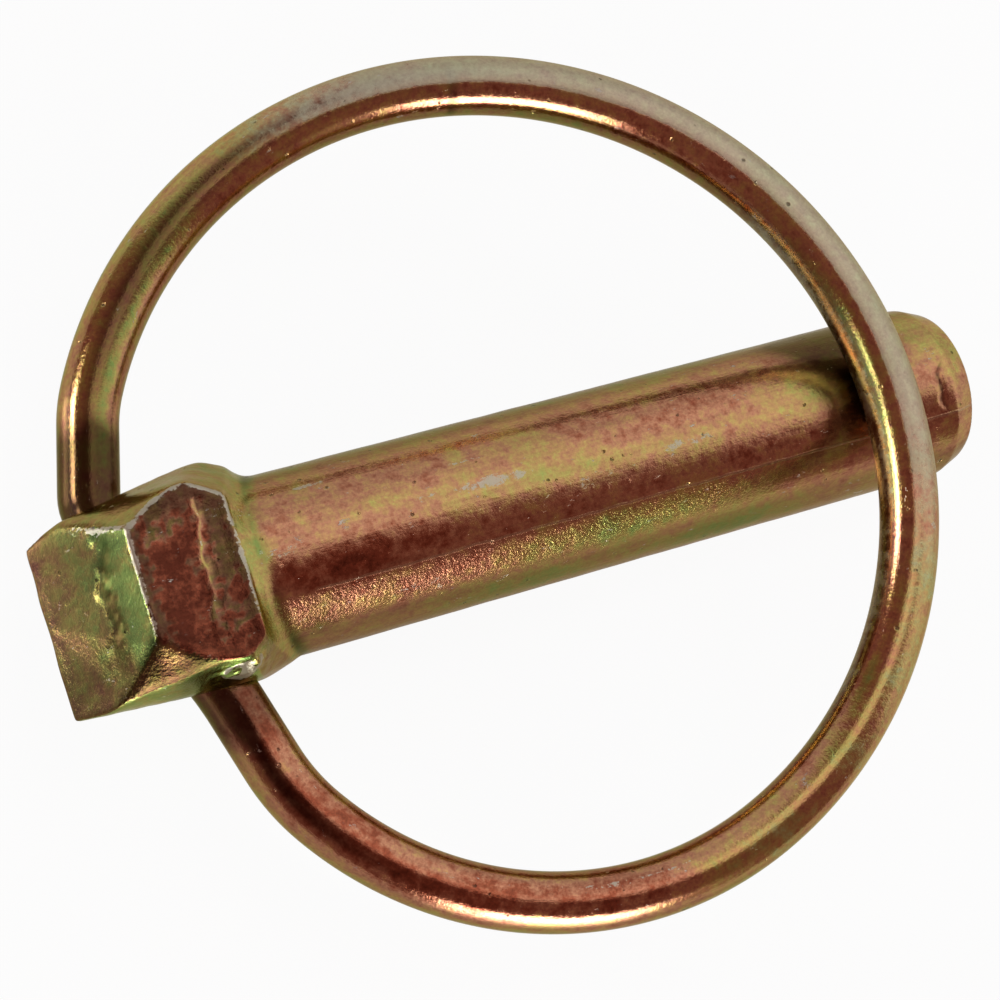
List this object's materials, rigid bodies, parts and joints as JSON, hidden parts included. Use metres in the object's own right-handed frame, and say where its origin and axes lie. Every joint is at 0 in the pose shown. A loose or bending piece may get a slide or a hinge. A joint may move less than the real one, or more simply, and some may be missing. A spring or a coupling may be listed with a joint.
{
  "type": "lynch pin",
  "caption": "Forged lynch pin with a six-sided head and a spring wire ring that swings over and closes down on the round shank, zinc plated",
  "frame": {"origin": "on the axis of the shank, in the plane of the shoulder under the head", "axes": "+X runs along the shank to its tip, and +Z comes out of the head's front flat, on the side where the closed ring crosses the shank"},
  "size_m": [0.0618, 0.0542, 0.0155],
  "materials": {
    "forged_steel": "yellow zinc plating over a forged surface, worn and pitted",
    "spring_wire": "yellow zinc plating over round spring wire, worn"
  },
  "bodies": {
    "pin": {"pin": "forged_steel"},
    "ring": {"ring": "spring_wire"}
  },
  "joints": [
    {"name": "ring_hinge", "type": "hinge", "parent": "pin", "child": "ring", "pos_m": [-0.00675, 0, 0], "axis": [0.3256, -0.9455, 0], "range_deg": [0, 341]}
  ]
}
